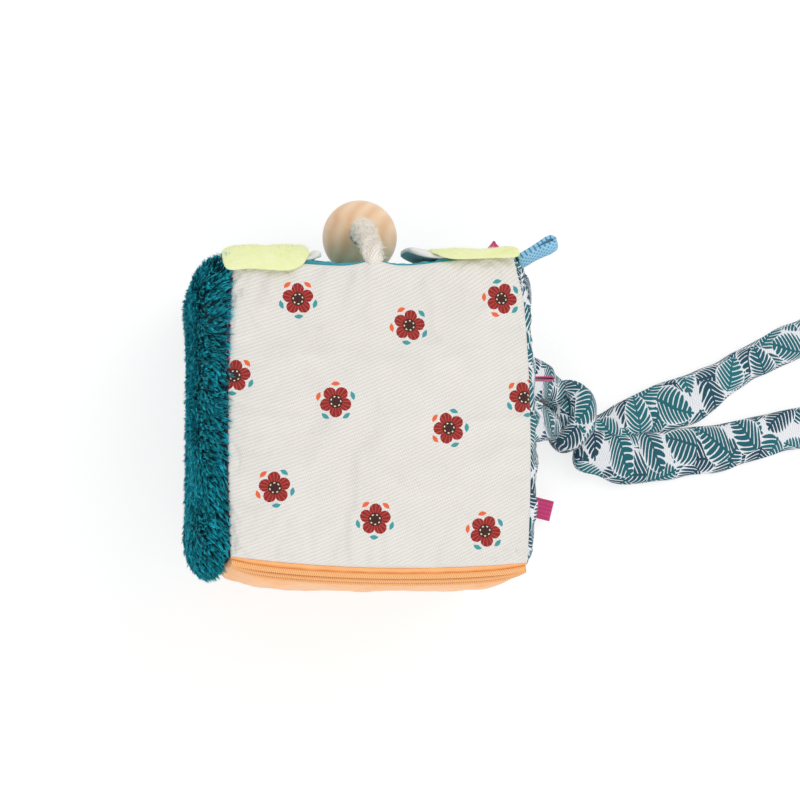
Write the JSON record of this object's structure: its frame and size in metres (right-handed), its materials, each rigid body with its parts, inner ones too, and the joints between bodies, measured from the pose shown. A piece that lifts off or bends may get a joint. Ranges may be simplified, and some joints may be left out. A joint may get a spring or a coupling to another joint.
{
  "type": "soft activity block",
  "caption": "Soft cube-shaped baby block with puffed cloth sides, a wooden bead on a rope, padded flaps, ribbon tags and a knotted cloth strap.",
  "frame": {"origin": "middle of the flat underside that the block lies on", "axes": "+Z out of the cream printed face, +Y out of the side with the rope and bead, +X out of the side with the strap"},
  "size_m": [0.3393, 0.1477, 0.1151],
  "materials": {
    "cream_twill": "printed cotton twill",
    "back_cotton": "plain cotton twill",
    "plush_pile": "long-pile plush",
    "leaf_cotton": "printed cotton",
    "teal_cotton": "brushed cotton",
    "orange_satin": "satin",
    "orange_piping": "satin piping",
    "filling_foam": "foam filling",
    "rattle_plastic": "matt",
    "beech": "waxed beech",
    "cotton_rope": "twisted cotton",
    "lime_plush": "short-pile plush",
    "white_lining": "brushed cotton",
    "pink_ribbon": "woven ribbon",
    "blue_mesh": "mesh ribbon"
  },
  "bodies": {
    "block": {"front_panel": "cream_twill", "back_panel": "back_cotton", "plush_panel": "plush_pile", "leaf_print_panel": "leaf_cotton", "teal_panel": "teal_cotton", "ribbed_panel": "orange_satin", "foam_core_upper": "filling_foam", "foam_core_lower": "filling_foam", "rattle_case_upper": "rattle_plastic", "rattle_case_lower": "rattle_plastic", "piping_row_1": "orange_piping", "piping_row_2": "orange_piping", "piping_row_3": "orange_piping", "rope": "cotton_rope"},
    "rattle_ball": {"rattle_ball": "beech"},
    "bead": {"wooden_bead": "beech"},
    "flap_left": {"flap_left_cover": "lime_plush", "flap_left_lining": "white_lining"},
    "flap_right": {"flap_right_cover": "lime_plush", "flap_right_lining": "white_lining"},
    "strap": {"strap_knot": "leaf_cotton", "strap_end_upper": "leaf_cotton", "strap_end_lower": "leaf_cotton", "strap_loop": "leaf_cotton"},
    "tag_side": {"tag_side": "pink_ribbon"},
    "tag_middle": {"tag_middle": "pink_ribbon"},
    "tag_pointed": {"tag_pointed": "pink_ribbon"},
    "corner_loop": {"corner_loop": "blue_mesh"}
  },
  "joints": [
    {"name": "rattle_ball_slide", "type": "slide", "parent": "block", "child": "rattle_ball", "axis": [0, 0, 1], "range_m": [0, 0.015]},
    {"name": "bead_slide", "type": "slide", "parent": "block", "child": "bead", "axis": [0, 0, 1], "range_m": [0, 0.02]},
    {"name": "flap_left_fold", "type": "hinge", "parent": "block", "child": "flap_left", "pos_m": [-0.0525, 0.05309, 0.0865], "axis": [0, 0, 1], "range_deg": [0, 120], "stiffness_Nm_per_rad": 0.0005},
    {"name": "flap_right_fold", "type": "hinge", "parent": "block", "child": "flap_right", "pos_m": [0.0525, 0.05334, 0.0865], "axis": [0, 0, -1], "range_deg": [0, 120], "stiffness_Nm_per_rad": 0.0005},
    {"name": "strap_swing", "type": "hinge", "parent": "block", "child": "strap", "pos_m": [0.06067, 0.009, 0.035], "axis": [0, -1, 0], "range_deg": [0, 95], "deforming": ["strap_end_upper", "strap_end_lower"]},
    {"name": "tag_side_bend", "type": "hinge", "parent": "block", "child": "tag_side", "pos_m": [0.05436, -0.02752, 0.004], "axis": [-0.2419, -0.9703, 0], "range_deg": [0, 60], "stiffness_Nm_per_rad": 0.0001, "deforming": ["tag_side"]},
    {"name": "tag_middle_bend", "type": "hinge", "parent": "block", "child": "tag_middle", "pos_m": [0.06057, 0.01482, 0.06046], "axis": [0, 0, 1], "range_deg": [-60, 60], "stiffness_Nm_per_rad": 0.0001, "deforming": ["tag_middle"]},
    {"name": "tag_pointed_bend", "type": "hinge", "parent": "block", "child": "tag_pointed", "pos_m": [0.05362, 0.0525, 0.02414], "axis": [0, 0, 1], "range_deg": [-60, 45], "stiffness_Nm_per_rad": 0.0001, "deforming": ["tag_pointed"]},
    {"name": "corner_loop_bend", "type": "hinge", "parent": "block", "child": "corner_loop", "pos_m": [0.05116, 0.05426, 0.102], "axis": [0, 0, 1], "range_deg": [-60, 40], "stiffness_Nm_per_rad": 0.0002, "deforming": ["corner_loop"]}
  ]
}
